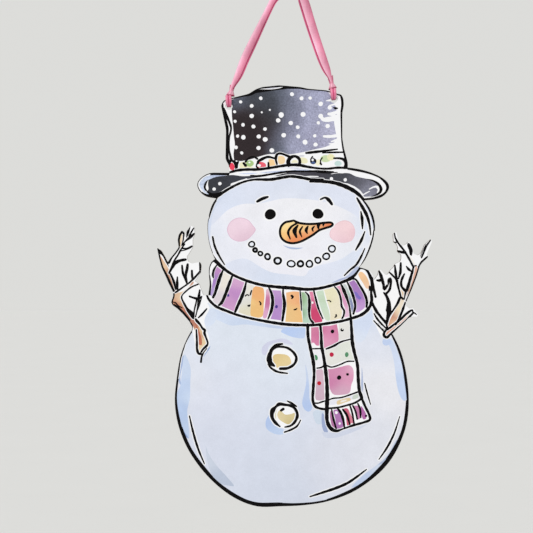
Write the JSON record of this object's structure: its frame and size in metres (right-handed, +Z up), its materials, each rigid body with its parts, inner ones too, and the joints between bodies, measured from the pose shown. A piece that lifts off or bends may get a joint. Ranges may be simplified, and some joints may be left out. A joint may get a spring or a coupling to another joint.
{
  "type": "snowman door hanger",
  "caption": "Flat wooden snowman in a top hat and striped scarf, cut to its outline and printed on the front, hung from a folded satin ribbon tied through the top of the hat.",
  "frame": {"origin": "the point where the inside of the ribbon's bend rests on a hook", "axes": "+Z up, +Y from the printed front to the back, +X to the viewer's right as the front is seen"},
  "size_m": [0.2727, 0.0128, 0.5142],
  "materials": {
    "wood_core": "raw fibreboard, browned on the cut edge",
    "printed_layer": "satin print in black line and watercolour",
    "satin_ribbon": "pink satin with a soft sheen"
  },
  "bodies": {
    "ribbon": {"ribbon_span": "satin_ribbon", "left_loop": "satin_ribbon", "right_loop": "satin_ribbon", "left_knot": "satin_ribbon", "right_knot": "satin_ribbon"},
    "board": {"board": "wood_core", "printed_face": "printed_layer"}
  },
  "joints": [
    {"name": "board_swing", "type": "hinge", "parent": "ribbon", "child": "board", "pos_m": [-0.0595, 0, -0.1085], "axis": [-0.9977, 0, -0.0672], "range_deg": [-110, 110]}
  ]
}
